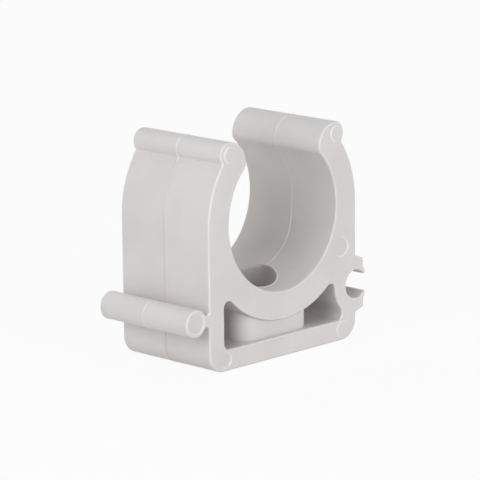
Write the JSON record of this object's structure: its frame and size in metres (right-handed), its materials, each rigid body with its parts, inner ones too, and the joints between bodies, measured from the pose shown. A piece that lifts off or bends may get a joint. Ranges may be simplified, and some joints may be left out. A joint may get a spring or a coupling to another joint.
{
  "type": "pipe clip",
  "caption": "Snap-in plastic pipe clip: open ring on a flat foot with a screw boss, and a side rod and socket that link clips in a row.",
  "frame": {"origin": "centre of the screw hole on the base face, under the pipe's axis, at half depth", "axes": "+Z away from the wall through the open mouth, Y along the pipe with the marked face at -Y, +X to the link socket"},
  "size_m": [0.0339, 0.0164, 0.0298],
  "materials": {
    "clip_body": "light grey moulded polypropylene, satin"
  },
  "bodies": {
    "root": {"clip_body": "clip_body"}
  },
  "joints": []
}
